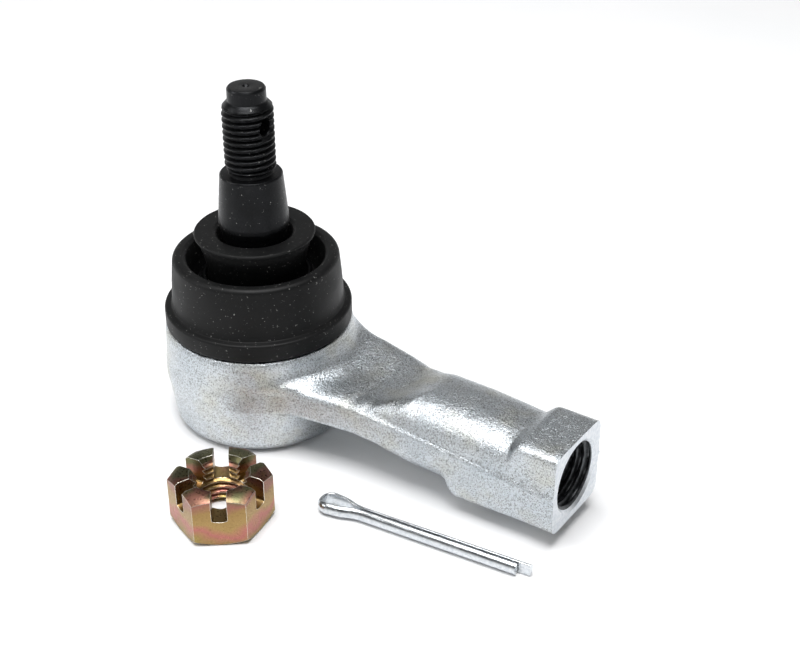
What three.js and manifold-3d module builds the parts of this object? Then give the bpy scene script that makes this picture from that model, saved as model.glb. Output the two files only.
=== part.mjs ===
import * as THREE from "three";
import { mergeVertices } from "three/addons/utils/BufferGeometryUtils.js";
import Module from "manifold-3d";

// Outer tie rod end with its slotted nut and cotter pin. Millimetres, +Z up along the
// ball stud, +X along the shank, origin on the closed base under the ball.

// Ball stud
const ballRadius = 9.6;
const ballHeight = 12.2;
const ballFlatDrop = 7.9;
const neckRadius = 5.2;
const journalRadius = 6.45;
const journalBottom = 29.5;
const taperBigRadius = 6.95;
const taperSmallRadius = 6.1;
const taperBottom = 43.7;
const taperTop = 53.6;
const threadRadius = 4.95;
const threadPitch = 1.25;
const threadDepth = 0.77;
const threadBottom = 55.75;
const threadTurns = 9;
const reliefRadius = threadRadius - threadDepth - 0.03;
const dogPointRadius = threadRadius - 1.25;
const studTop = 71.0;
const cotterHolePlay = 0.35;
const cotterHoleHeight = 63.7;

// Housing
const housingRadius = 19.6;
const baseRadius = 15.8;
const housingTop = 21.6;
const partingBandLow = 10.3;
const partingBandHigh = 14.2;
const spigotRadius = 16.0;
const spigotTop = 25.0;
const seatWall = 3.7;
const cavityRadius = ballRadius + seatWall;
const cavityTop = ballHeight + 7.1;
const mouthRadius = ballRadius - 0.4;
const mouthTopRadius = mouthRadius + 2.0;
const coverThickness = 2.2;
const lipOverlap = 0.9;

// Shank
const shankLength = 73.5;
const shankAxisHeight = 12.0;
const shankBoreRadius = 6.2;
const shankBoreDepth = 28.0;
const shankChamferRadius = shankBoreRadius + 1.0;
const blockLength = 8.1;
const blockHalf = shankBoreRadius + 2.3;
const blockUp = shankBoreRadius + 2.1;
const blockDown = shankBoreRadius + 2.5;
const blockStart = shankLength - blockLength;
const webHalf = 13.0;
const webUp = 5.0;
const webDown = 2.4;
const webLean = 0.25;
const barrelHalf = shankBoreRadius + 3.1;
const barrelUp = shankBoreRadius + 1.8;

// Clearances, seats, spring and boot
const gap = 0.3;
const coverRadius = cavityRadius - gap;
const seatRimHeight = ballHeight + 5.1;
const springThickness = 1.0;
const springRise = 0.8;
const springInnerRadius = Math.sqrt(ballRadius ** 2 - ballFlatDrop ** 2) + 1.25;
const springOuterRadius = cavityRadius - 0.7;
const baseRingWall = 0.7;
const wallFootRadius = spigotRadius + baseRingWall + gap * 2;
const bandRadius = wallFootRadius + 1.55;
const bandTop = spigotTop + 0.6;
const rimRadius = 16.5;
const rimTop = 36.4;
const rimInnerRadius = 13.9;
const channelFloor = 29.4;
const bootNeckRadius = 9.6;
const beadRadius = 10.9;
const lipRadius = 11.95;
const lipTop = 41.3;
const lipHoleRadius = journalRadius + gap + 0.95;
const bootSleeveTop = 38.6;
const neckRingWire = 0.6;
const neckRingHeight = channelFloor + 2.3;

// Cotter pin, lying loose
const pinWireRadius = 1.25;
const cotterHoleRadius = pinWireRadius + cotterHolePlay;
const pinShortLeg = 41.2;
const pinLongLeg = 43.6;
const pinEyeInner = 1.45;
const pinPlace = [30.4, -21.0];
const pinTurnDeg = 5.9;

// Slotted nut, lying loose
const nutAcross = 17.0;
const nutHeight = 10.2;
const nutBoreRadius = threadRadius - 0.55;
const nutSlotWidth = pinWireRadius * 2 + 0.4;
const nutSlotFloor = 5.2;
const nutPlace = [17.4, -34.0];
const nutTurnDeg = 38.5;

const roundSegments = 40;

const wasm = await Module();
wasm.setup();

const finishes = {
  zincForging: { color: 0xb9c1c8, roughness: 0.42, metalness: 0.85 },
  zincCover: { color: 0xaab2b9, roughness: 0.38, metalness: 0.85 },
  blackSteel: { color: 0x26282a, roughness: 0.42, metalness: 0.7 },
  rubber: { color: 0x17181a, roughness: 0.62, metalness: 0.0 },
  acetal: { color: 0xe6e3d6, roughness: 0.45, metalness: 0.0 },
  springSteel: { color: 0x5c6064, roughness: 0.4, metalness: 0.85 },
  yellowZinc: { color: 0xb0925e, roughness: 0.35, metalness: 0.85 },
  brightZinc: { color: 0xc3c8cc, roughness: 0.24, metalness: 0.9 },
};

function toSolid(geometry) {
  const plain = geometry.clone();
  plain.deleteAttribute("normal");
  plain.deleteAttribute("uv");
  const merged = mergeVertices(plain, 1e-4);
  const mesh = new wasm.Mesh({
    numProp: 3,
    vertProperties: new Float32Array(merged.attributes.position.array),
    triVerts: new Uint32Array(merged.index.array),
  });
  return new wasm.Manifold(mesh);
}

function toGeometry(solid) {
  const mesh = solid.asOriginal().simplify(0.006).getMesh();
  const geometry = new THREE.BufferGeometry();
  const points = new Float32Array(mesh.numVert * 3);
  for (let i = 0; i < mesh.numVert; i += 1) {
    for (let k = 0; k < 3; k += 1) {
      points[i * 3 + k] = mesh.vertProperties[i * mesh.numProp + k];
    }
  }
  geometry.setAttribute("position", new THREE.BufferAttribute(points, 3));
  geometry.setIndex(new THREE.BufferAttribute(new Uint32Array(mesh.triVerts), 1));
  geometry.computeVertexNormals();
  return geometry;
}

// A closed profile of [radius, height] pairs turned about Z.
function turned(profile, segments = roundSegments) {
  const points = profile.map(([r, z]) => new THREE.Vector2(r, z));
  const geometry = new THREE.LatheGeometry(points, segments);
  geometry.rotateX(Math.PI / 2);
  return geometry;
}

function closed(profile) {
  return [...profile, profile[0]];
}

// Points on a circle about the stud axis' ball centre, between two angles from +Z.
function ballArc(radius, fromDeg, toDeg, steps) {
  const points = [];
  for (let i = 0; i <= steps; i += 1) {
    const angle = THREE.MathUtils.degToRad(fromDeg + ((toDeg - fromDeg) * i) / steps);
    points.push([radius * Math.sin(angle), ballHeight + radius * Math.cos(angle)]);
  }
  return points;
}

function bar(radius, length, segments = 24) {
  const geometry = new THREE.CylinderGeometry(radius, radius, length, segments);
  geometry.rotateZ(-Math.PI / 2);
  return geometry;
}

function degreesAt(radius, height) {
  return THREE.MathUtils.radToDeg(Math.acos((height - ballHeight) / radius));
}

// Ball stud: flattened ball, neck, boot journal, taper, relief, thread and dog point.
function ballStud() {
  const flatDeg = THREE.MathUtils.radToDeg(Math.acos(-ballFlatDrop / ballRadius));
  const neckDeg = THREE.MathUtils.radToDeg(Math.asin(neckRadius / ballRadius));
  const profile = [[0, ballHeight - ballFlatDrop]];
  profile.push(...ballArc(ballRadius, flatDeg, neckDeg, 12));
  profile.push([neckRadius, journalBottom - 2.5]);
  profile.push([journalRadius, journalBottom]);
  profile.push([journalRadius, taperBottom - 2.2]);
  profile.push([taperBigRadius - 0.12, taperBottom - 0.8]);
  profile.push([taperBigRadius, taperBottom]);
  profile.push([taperSmallRadius + 0.04, taperTop - 0.45]);
  profile.push([taperSmallRadius - 0.35, taperTop]);
  profile.push([reliefRadius, taperTop]);
  profile.push([reliefRadius, threadBottom - threadDepth]);
  for (let turn = 0; turn < threadTurns; turn += 1) {
    const z = threadBottom + turn * threadPitch;
    profile.push([threadRadius, z]);
    profile.push([threadRadius, z + threadPitch * 0.3]);
    profile.push([threadRadius - threadDepth, z + threadPitch * 0.65]);
  }
  const threadTop = threadBottom + threadTurns * threadPitch;
  profile.push([threadRadius, threadTop]);
  profile.push([dogPointRadius + 0.3, threadTop + 0.9]);
  profile.push([dogPointRadius, threadTop + 1.0]);
  profile.push([dogPointRadius, studTop - 0.35]);
  profile.push([dogPointRadius - 0.35, studTop]);
  profile.push([0.9, studTop]);
  profile.push([0, studTop - 1.4]);
  const hole = bar(cotterHoleRadius, threadRadius * 4, 16);
  hole.translate(0, 0, cotterHoleHeight);
  return toGeometry(toSolid(turned(profile, 28)).subtract(toSolid(hole)));
}

// Along the shank: half width on the -Y side, extra width on the +Y side, reach above and below
// the axis, how square each half is, and how much the top rises towards +Y.
const stationKeys = ["x", "half", "far", "up", "down", "top", "bottom", "lean"];
const shankStations = [
  [2, webHalf + 1.6, 0.6, webUp, webDown, 4.5, 5, webLean],
  [14, webHalf, 1.4, webUp, webDown, 4.5, 5, webLean],
  [22, webHalf - 1.6, 2.0, webUp - 0.1, webDown + 0.3, 4.5, 5, webLean],
  [30, barrelHalf + 0.7, 1.9, webUp - 0.3, webDown + 0.6, 4.5, 5, webLean],
  [35, barrelHalf + 0.5, 0.9, webUp + 0.1, webDown + 1.8, 4, 3.6, webLean * 0.6],
  [39, barrelHalf + 0.3, 0.7, barrelUp - 1.0, barrelUp - 1.4, 3, 2.6, 0],
  [42, barrelHalf + 0.2, 0.8, barrelUp, barrelUp, 2.8, 2.3, 0],
  [49, barrelHalf, 0.9, barrelUp, barrelUp + 0.3, 2.8, 2.3, 0],
  [50.8, barrelHalf, 0.9, barrelUp, barrelUp + 0.4, 2.8, 3, 0],
  [52.8, barrelHalf - 0.1, 0.9, barrelUp - 0.1, blockDown, 2.8, 10, 0],
  [57, barrelHalf - 0.2, 0.8, barrelUp - 0.3, blockDown, 2.8, 10, 0],
  [blockStart - 4.2, blockHalf + 0.4, 0.8, barrelUp - 0.6, blockDown, 2.8, 10, 0],
  [blockStart - 2, blockHalf + 0.25, 0.4, barrelUp - 0.5, blockDown, 3, 10, 0],
  [blockStart, blockHalf + 0.15, 0.1, blockUp, blockDown, 10, 10, 0],
  [shankLength, blockHalf, 0, blockUp, blockDown, 10, 10, 0],
].map((row) => Object.fromEntries(stationKeys.map((key, i) => [key, row[i]])));

function straightStation(x, key) {
  const last = shankStations.length - 1;
  let i = 0;
  while (i < last - 1 && x > shankStations[i + 1].x) {
    i += 1;
  }
  const a = shankStations[i];
  const b = shankStations[i + 1];
  const t = THREE.MathUtils.clamp((x - a.x) / (b.x - a.x), 0, 1);
  return a[key] + (b[key] - a[key]) * t;
}

// The station size at x, eased over a short run so that the forging blends.
function shankSize(x, key) {
  const reach = 1.0;
  let sum = 0;
  for (let i = -2; i <= 2; i += 1) {
    sum += straightStation(x + (i * reach) / 2, key);
  }
  return sum / 5;
}

// The forged shank: a box whose section follows the stations.
function shankBlank() {
  const from = shankStations[0].x;
  const length = shankLength - from;
  const geometry = new THREE.BoxGeometry(length, 2, 2, 46, 6, 6);
  geometry.translate(from + length / 2, 0, 0);
  const place = geometry.attributes.position;
  for (let i = 0; i < place.count; i += 1) {
    const x = place.getX(i);
    const u = place.getY(i);
    const v = place.getZ(i);
    const reach = Math.max(Math.abs(u), Math.abs(v));
    if (reach > 0) {
      const power = shankSize(x, v >= 0 ? "top" : "bottom");
      const spread = Math.abs(u / reach) ** power + Math.abs(v / reach) ** power;
      const scale = spread ** (-1 / power);
      const half = shankSize(x, "half") + (u > 0 ? shankSize(x, "far") : 0);
      const lean = v > 0 ? 1 + shankSize(x, "lean") * Math.max(0, u * scale) : 1;
      place.setY(i, u * scale * half);
      place.setZ(i, v * scale * lean * shankSize(x, v >= 0 ? "up" : "down"));
    }
  }
  geometry.translate(0, 0, shankAxisHeight);
  return geometry;
}

// The hollow curve that runs from the housing's wall down onto the web.
function webFillet() {
  const foot = shankAxisHeight + webUp - 1.6;
  const wide = 6.2;
  const high = housingTop - 0.7 - foot;
  const wall = housingRadius - 0.6;
  const arc = [];
  for (let i = 0; i <= 6; i += 1) {
    const angle = Math.PI * (1.5 - i / 12);
    arc.push([wall + wide + wide * Math.cos(angle), foot + high + high * Math.sin(angle)]);
  }
  const ring = turned(closed([
    [wall - 1.5, foot - 1],
    [wall + wide, foot - 1],
    ...arc,
    [wall - 1.5, foot + high],
  ]));
  const outline = new THREE.Shape();
  outline.moveTo(4, shankSize(4, "half") - 1.2);
  const steps = 10;
  const run = wall + wide + 0.8;
  for (let i = 1; i <= steps; i += 1) {
    const x = 4 + (run * i) / steps;
    outline.lineTo(x, shankSize(x, "half") + shankSize(x, "far") - 1.2);
  }
  for (let i = steps; i >= 0; i -= 1) {
    const x = 4 + (run * i) / steps;
    outline.lineTo(x, 1.2 - shankSize(x, "half"));
  }
  outline.closePath();
  const prism = new THREE.ExtrudeGeometry(outline, { depth: housingTop, bevelEnabled: false });
  return toSolid(ring).intersect(toSolid(prism));
}

// Forged body: round housing with its socket, and the shank with its blind threaded bore.
function housingBody() {
  const outer = toSolid(
    turned([
      [0, 0],
      [baseRadius, 0],
      [baseRadius + 1.3, 0.3],
      [baseRadius + 2.2, 1.0],
      [housingRadius - 1.15, 2.0],
      [housingRadius - 0.9, 4.3],
      [housingRadius - 0.5, partingBandLow - 2.5],
      [housingRadius - 0.1, partingBandLow],
      [housingRadius, partingBandLow + 0.4],
      [housingRadius, partingBandHigh - 0.4],
      [housingRadius - 0.12, partingBandHigh],
      [housingRadius - 0.4, housingTop - 2.6],
      [housingRadius - 0.5, housingTop - 0.8],
      [housingRadius - 1.0, housingTop],
      [spigotRadius, housingTop],
      [spigotRadius, spigotTop - 0.4],
      [spigotRadius - 0.4, spigotTop],
      [0, spigotTop],
    ]),
  );
  const socket = toSolid(
    turned([
      [0, -1],
      [coverRadius + gap - lipOverlap - 1.0, -1],
      [coverRadius + gap - lipOverlap - 0.1, 0],
      [coverRadius + gap, 1.0],
      [cavityRadius, 1.0 + 0.1],
      [cavityRadius, cavityTop],
      [mouthRadius, cavityTop],
      [mouthTopRadius, spigotTop],
      [mouthTopRadius, spigotTop + 1],
      [0, spigotTop + 1],
    ]),
  );
  const boreStart = shankLength - shankBoreDepth;
  const bore = turned([
    [0, boreStart - 3.4],
    [shankBoreRadius, boreStart],
    [shankBoreRadius, shankLength - (shankChamferRadius - shankBoreRadius)],
    [shankChamferRadius, shankLength],
    [shankChamferRadius, shankLength + 2],
    [0, shankLength + 2],
  ], 32);
  bore.rotateY(Math.PI / 2);
  bore.translate(0, 0, shankAxisHeight);
  const forging = outer.add(toSolid(shankBlank())).add(webFillet());
  return toGeometry(forging.subtract(socket).subtract(toSolid(bore)));
}

// Closing plate at the base, held by the housing's rolled lip.
function coverPlate() {
  return turned([
    [0, 0],
    [coverRadius - lipOverlap - 0.2, 0],
    [coverRadius, 1.1],
    [coverRadius, coverThickness],
    [0, coverThickness],
  ]);
}

// Dished spring ring that loads the lower seat.
function preloadSpring() {
  const low = coverThickness + gap;
  return turned(closed([
    [springOuterRadius, low],
    [springOuterRadius, low + springThickness],
    [springInnerRadius, low + springThickness + springRise],
    [springInnerRadius, low + springRise],
  ]));
}

function lowerSeat() {
  const low = coverThickness + gap + springThickness + springRise + gap;
  const inner = ballRadius + gap;
  const split = ballHeight - gap / 2;
  const arc = ballArc(inner, degreesAt(inner, split), degreesAt(inner, low), 6);
  return turned(closed([[cavityRadius - gap, low], [cavityRadius - gap, split], ...arc]));
}

// Upper seat: holds the ball down and opens out so that the stud's neck can lean.
function upperSeat() {
  const inner = ballRadius + gap;
  const split = ballHeight + gap / 2;
  const arc = ballArc(inner, degreesAt(inner, seatRimHeight), degreesAt(inner, split), 4);
  return turned(closed([
    [cavityRadius - gap, split],
    [cavityRadius - gap, cavityTop - gap],
    [mouthRadius + 0.1, cavityTop - gap],
    ...arc,
  ]));
}

// Steel ring moulded into the boot's foot, pressed over the housing's spigot.
function bootBaseRing() {
  const inner = spigotRadius + gap;
  return turned(closed([
    [inner, housingTop + gap],
    [inner + baseRingWall, housingTop + gap],
    [inner + baseRingWall, spigotTop + 0.1],
    [inner, spigotTop + 0.1],
  ]));
}

// Rubber boot: foot band, wall, rolled rim, deep channel, neck and sealing lip.
function dustBoot() {
  const footInner = spigotRadius + gap * 2 + baseRingWall;
  const sleeve = journalRadius + gap;
  const insideTop = spigotTop + 0.1 + gap;
  return turned(closed([
    [footInner, housingTop + gap],
    [bandRadius - 0.2, housingTop + gap],
    [bandRadius, housingTop + gap + 0.3],
    [bandRadius, bandTop - 0.4],
    [bandRadius - 0.4, bandTop],
    [wallFootRadius + 0.1, bandTop + 0.1],
    [wallFootRadius, bandTop + 0.7],
    [rimRadius, rimTop - 1.4],
    [rimRadius - 0.35, rimTop - 0.4],
    [rimRadius - 1.2, rimTop],
    [rimInnerRadius + 0.5, rimTop - 0.1],
    [rimInnerRadius, rimTop - 0.6],
    [rimInnerRadius - 0.7, channelFloor + 2.2],
    [rimInnerRadius - 1.7, channelFloor + 0.3],
    [rimInnerRadius - 2.6, channelFloor + 0.1],
    [bootNeckRadius, channelFloor + 1.0],
    [bootNeckRadius, rimTop - 2.4],
    [bootNeckRadius + 0.5, rimTop],
    [beadRadius, lipTop - 2.4],
    [beadRadius, lipTop - 1.5],
    [beadRadius - 0.4, lipTop - 1.1],
    [lipRadius - 0.3, lipTop - 0.8],
    [lipRadius, lipTop - 0.5],
    [lipRadius - 0.1, lipTop - 0.2],
    [lipRadius - 0.7, lipTop],
    [lipHoleRadius, lipTop - 0.1],
    [sleeve, bootSleeveTop],
    [sleeve, journalBottom + 2.2],
    [sleeve + 1.2, channelFloor - 0.9],
    [rimInnerRadius - 2.2, channelFloor - 2.2],
    [wallFootRadius - 2.3, insideTop + 1.2],
    [wallFootRadius - 2.1, insideTop],
    [footInner, insideTop],
  ]));
}

// Round wire ring that clamps the boot's neck to the stud, in the bottom of the channel.
function bootNeckRing() {
  const centre = bootNeckRadius + gap + neckRingWire;
  const profile = [];
  const sides = 6;
  for (let i = 0; i < sides; i += 1) {
    const angle = (Math.PI * 2 * i) / sides;
    const across = neckRingWire * Math.cos(angle);
    profile.push([centre + across, neckRingHeight + neckRingWire * Math.sin(angle)]);
  }
  return turned(closed(profile));
}

// Hexagon slotted nut with chamfered corners and three slots right across.
function slottedNut() {
  const corner = nutAcross / Math.sqrt(3);
  const shape = new THREE.Shape();
  for (let i = 0; i < 6; i += 1) {
    const angle = (Math.PI / 3) * i;
    const x = corner * Math.cos(angle);
    const y = corner * Math.sin(angle);
    if (i === 0) {
      shape.moveTo(x, y);
    } else {
      shape.lineTo(x, y);
    }
  }
  shape.closePath();
  const hexagon = new THREE.ExtrudeGeometry(shape, { depth: nutHeight, bevelEnabled: false });
  const topFlat = nutAcross / 2 - 0.5;
  const bottomFlat = nutAcross / 2 - 0.1;
  const dome = turned([
    [0, 0],
    [bottomFlat, 0],
    [corner + 0.2, (corner + 0.2 - bottomFlat) * 0.55],
    [corner + 0.2, nutHeight - (corner + 0.2 - topFlat) * 0.6],
    [topFlat, nutHeight],
    [0, nutHeight],
  ]);
  const bore = turned([
    [0, -1],
    [nutBoreRadius + 0.8, -1],
    [nutBoreRadius + 0.8, 0],
    [nutBoreRadius, 0.7],
    [nutBoreRadius, nutHeight - 1.4],
    [nutBoreRadius + 1.2, nutHeight],
    [nutBoreRadius + 1.2, nutHeight + 1],
    [0, nutHeight + 1],
  ], 32);
  let solid = toSolid(hexagon).intersect(toSolid(dome)).subtract(toSolid(bore));
  for (let i = 0; i < 3; i += 1) {
    const depth = nutHeight + 2 - nutSlotFloor;
    const slot = new THREE.BoxGeometry(nutAcross * 1.4, nutSlotWidth, depth);
    slot.translate(0, 0, nutSlotFloor + depth / 2);
    solid = solid.subtract(toSolid(slot).rotate([0, 0, 30 + 60 * i]));
  }
  const nut = toGeometry(solid);
  nut.rotateZ(THREE.MathUtils.degToRad(nutTurnDeg));
  nut.translate(nutPlace[0], nutPlace[1], 0);
  return nut;
}

// Split pin: one half-round wire run up one leg, round the eye and back down the other.
function cotterPin() {
  const half = gap / 2 + 0.02;
  const section = new THREE.Shape();
  section.moveTo(pinWireRadius, 0);
  section.absarc(0, 0, pinWireRadius, 0, Math.PI, false);
  section.closePath();
  const eye = pinEyeInner + pinWireRadius;
  const leg = [[28, half], [18, half], [12, half], [9.4, half], [7.6, half + 0.25], [5.6, 1.05]];
  const points = [[pinShortLeg, -half]];
  points.push(...leg.map(([x, y]) => [x, -y]));
  for (let i = 0; i <= 8; i += 1) {
    const angle = Math.PI * (-0.42 - (1.16 * i) / 8);
    points.push([eye + pinEyeInner * Math.cos(angle), pinEyeInner * Math.sin(angle)]);
  }
  points.push(...[...leg].reverse());
  points.push([pinLongLeg, half]);
  const path = new THREE.CatmullRomCurve3(
    points.map(([x, y]) => new THREE.Vector3(x, y, 0)),
    false,
    "centripetal",
  );
  const geometry = new THREE.ExtrudeGeometry(section, {
    extrudePath: path,
    steps: 60,
    curveSegments: 6,
    bevelEnabled: false,
  });
  geometry.rotateZ(THREE.MathUtils.degToRad(pinTurnDeg));
  geometry.translate(pinPlace[0], pinPlace[1], pinWireRadius);
  return geometry;
}

const group = new THREE.Group();
group.name = "tie_rod_end";

function part(name, geometry, finish) {
  const material = new THREE.MeshStandardMaterial({ ...finishes[finish] });
  material.name = finish;
  const mesh = new THREE.Mesh(geometry, material);
  mesh.name = name;
  group.add(mesh);
}

part("housing_body", housingBody(), "zincForging");
part("end_cover_plate", coverPlate(), "zincCover");
part("preload_spring", preloadSpring(), "springSteel");
part("lower_seat", lowerSeat(), "acetal");
part("upper_seat", upperSeat(), "acetal");
part("ball_stud", ballStud(), "blackSteel");
part("boot_base_ring", bootBaseRing(), "zincCover");
part("dust_boot", dustBoot(), "rubber");
part("boot_neck_ring", bootNeckRing(), "springSteel");
part("slotted_nut", slottedNut(), "yellowZinc");
part("cotter_pin", cotterPin(), "brightZinc");

export default group;
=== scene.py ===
import math
import bpy
import numpy as np
from mathutils import Matrix, Vector


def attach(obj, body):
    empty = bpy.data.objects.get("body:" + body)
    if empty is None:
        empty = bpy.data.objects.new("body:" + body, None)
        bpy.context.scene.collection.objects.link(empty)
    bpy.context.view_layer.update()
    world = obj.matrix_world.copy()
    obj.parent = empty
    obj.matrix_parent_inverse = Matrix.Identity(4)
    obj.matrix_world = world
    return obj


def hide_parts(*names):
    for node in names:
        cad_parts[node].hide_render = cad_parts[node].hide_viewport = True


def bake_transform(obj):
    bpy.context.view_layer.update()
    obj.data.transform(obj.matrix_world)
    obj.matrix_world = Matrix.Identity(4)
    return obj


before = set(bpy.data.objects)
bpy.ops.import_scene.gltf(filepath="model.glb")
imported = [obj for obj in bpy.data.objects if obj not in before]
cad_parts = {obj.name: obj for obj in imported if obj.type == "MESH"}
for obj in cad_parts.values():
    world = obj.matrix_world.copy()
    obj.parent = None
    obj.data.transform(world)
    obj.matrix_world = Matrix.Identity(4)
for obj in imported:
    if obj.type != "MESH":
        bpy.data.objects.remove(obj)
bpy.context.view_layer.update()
scene = bpy.context.scene
mm = 0.001


def linearColour(hexText, alpha=1.0):
    # sRGB hex to the linear numbers that nodes want
    parts = [int(hexText[i:i + 2], 16) / 255 for i in (1, 3, 5)]
    linear = [c / 12.92 if c <= 0.04045 else ((c + 0.055) / 1.055) ** 2.4 for c in parts]
    return (*linear, alpha)


def addNode(tree, kind, inputs=None, stops=(), **settings):
    # an input is a socket, a node (its first output), a hex colour or a plain value, and stops are
    # a colour ramp's places with their colours or greys
    node = tree.nodes.new(kind)
    for name, value in settings.items():
        setattr(node, name, value)
    for name, value in (inputs or {}).items():
        if isinstance(value, bpy.types.Node):
            value = value.outputs[0]
        if isinstance(value, bpy.types.NodeSocket):
            tree.links.new(value, node.inputs[name])
        else:
            node.inputs[name].default_value = linearColour(value) if isinstance(value, str) else value
    if stops:
        marks = node.color_ramp.elements
        while len(marks) < len(stops):
            marks.new(0.5)
        for mark, (place, shade) in zip(marks, stops):
            mark.position = place
            mark.color = linearColour(shade) if isinstance(shade, str) else (shade, shade, shade, 1)
    return node


def newMaterial(name):
    material = bpy.data.materials.new(name)
    material.use_nodes = True
    tree = material.node_tree
    tree.nodes.clear()
    return material, tree


def millimetres(tree):
    # object coordinates in millimetres, so a texture's scale is one over the width of its grain;
    # every material's size dictionary is in millimetres too
    place = addNode(tree, "ShaderNodeTexCoord").outputs["Object"]
    return addNode(tree, "ShaderNodeMapping", {"Vector": place, "Scale": (1 / mm, 1 / mm, 1 / mm)})


def roundedProfile(points, closed=False, arcSteps=5):
    # [radius, height, corner radius] points to a polyline with its corners rounded
    straight = math.pi - 0.02
    line = []
    count = len(points)
    for i, (r, z, corner) in enumerate(points):
        here = Vector((r, z))
        if corner <= 0 or (not closed and i in (0, count - 1)):
            line.append((r, z))
            continue
        before = Vector(points[i - 1][:2]) - here
        after = Vector(points[(i + 1) % count][:2]) - here
        angle = before.angle(after)
        if angle > straight:
            line.append((r, z))
            continue
        reach = min(corner / math.tan(angle / 2), before.length * 0.49, after.length * 0.49)
        radius = reach * math.tan(angle / 2)
        inward = (before.normalized() + after.normalized()).normalized()
        centre = here + inward * (radius / math.sin(angle / 2))
        first = here + before.normalized() * reach - centre
        last = here + after.normalized() * reach - centre
        turn = first.angle_signed(last)
        for step in range(arcSteps + 1):
            a = -turn * step / arcSteps
            x = first.x * math.cos(a) - first.y * math.sin(a)
            y = first.x * math.sin(a) + first.y * math.cos(a)
            line.append((centre.x + x, centre.y + y))
    return line


def shadeSmooth(data, sharpAngle):
    data.polygons.foreach_set("use_smooth", [True] * len(data.polygons))
    data.set_sharp_from_angle(angle=math.radians(sharpAngle))


def meshFrom(name, verts, faces, sharpAngle=38):
    data = bpy.data.meshes.new(name)
    data.from_pydata([tuple(v) for v in verts], [], [tuple(f) for f in faces])
    data.validate()
    shadeSmooth(data, sharpAngle)
    piece = bpy.data.objects.new(name, data)
    scene.collection.objects.link(piece)
    return piece


def prismMesh(name, low, high, sharpAngle=38):
    # two equal rings of points, joined into a closed prism
    count = len(low)
    faces = [tuple(reversed(range(count))), tuple(range(count, 2 * count))]
    faces += [(i, (i + 1) % count, (i + 1) % count + count, i + count) for i in range(count)]
    return meshFrom(name, low + high, faces, sharpAngle)


def turnedMesh(name, line, segments=128, closed=False, radiusAt=None, sharpAngle=38):
    # a [radius, height] polyline in millimetres turned about Z; radiusAt(r, z, angles) may wave it
    onAxis = 1e-6
    angles = np.linspace(0, 2 * np.pi, segments, endpoint=False)
    verts, faces, rings = [], [], []
    for r, z in line:
        if r < onAxis:
            rings.append([len(verts)])
            verts.append((0, 0, z * mm))
            continue
        radii = np.full(segments, float(r)) if radiusAt is None else radiusAt(r, z, angles)
        rings.append(list(range(len(verts), len(verts) + segments)))
        for radius, angle in zip(radii, angles):
            verts.append((radius * math.cos(angle) * mm, radius * math.sin(angle) * mm, z * mm))
    pairs = list(zip(rings, rings[1:])) + ([(rings[-1], rings[0])] if closed else [])
    for low, high in pairs:
        for i in range(segments):
            j = (i + 1) % segments
            if len(low) == 1:
                faces.append((low[0], high[j], high[i]))
            elif len(high) == 1:
                faces.append((low[i], low[j], high[0]))
            else:
                faces.append((low[i], low[j], high[j], high[i]))
    return meshFrom(name, verts, faces, sharpAngle)


def evaluatedMesh(piece):
    graph = bpy.context.evaluated_depsgraph_get()
    return bpy.data.meshes.new_from_object(piece.evaluated_get(graph))


def applied(piece):
    # the evaluated shape as a plain mesh on the same object, modifiers gone
    data = evaluatedMesh(piece)
    piece.modifiers.clear()
    piece.data = data
    return piece


def cutWith(piece, cutters, operation="DIFFERENCE"):
    for cutter in cutters:
        modifier = piece.modifiers.new("cut", "BOOLEAN")
        modifier.operation = operation
        modifier.solver = "EXACT"
        modifier.object = cutter
        applied(piece)
        bpy.data.objects.remove(cutter)


def setInputs(piece, name, tree, values):
    # a Geometry Nodes modifier with its inputs set by identifier
    modifier = piece.modifiers.new(name, "NODES")
    modifier.node_group = tree
    names = {item.name: item.identifier for item in tree.interface.items_tree if item.in_out == "INPUT"}
    for label, value in values.items():
        modifier[names[label]] = value


def threadCrest(height, pitch, angles):
    # 1 on the crest and 0 in the root of a sixty degree right-hand thread
    flat = 0.14    # part of a turn at the root's bottom
    phase = height / pitch - angles / (2 * np.pi)
    saw = np.abs((phase % 1.0) * 2 - 1)
    return np.clip((saw - flat) / (1 - 2.2 * flat), 0, 1)


def show(piece, material, body, node):
    piece.data.materials.clear()
    piece.data.materials.append(material)
    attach(piece, body)
    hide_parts(node)


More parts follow.
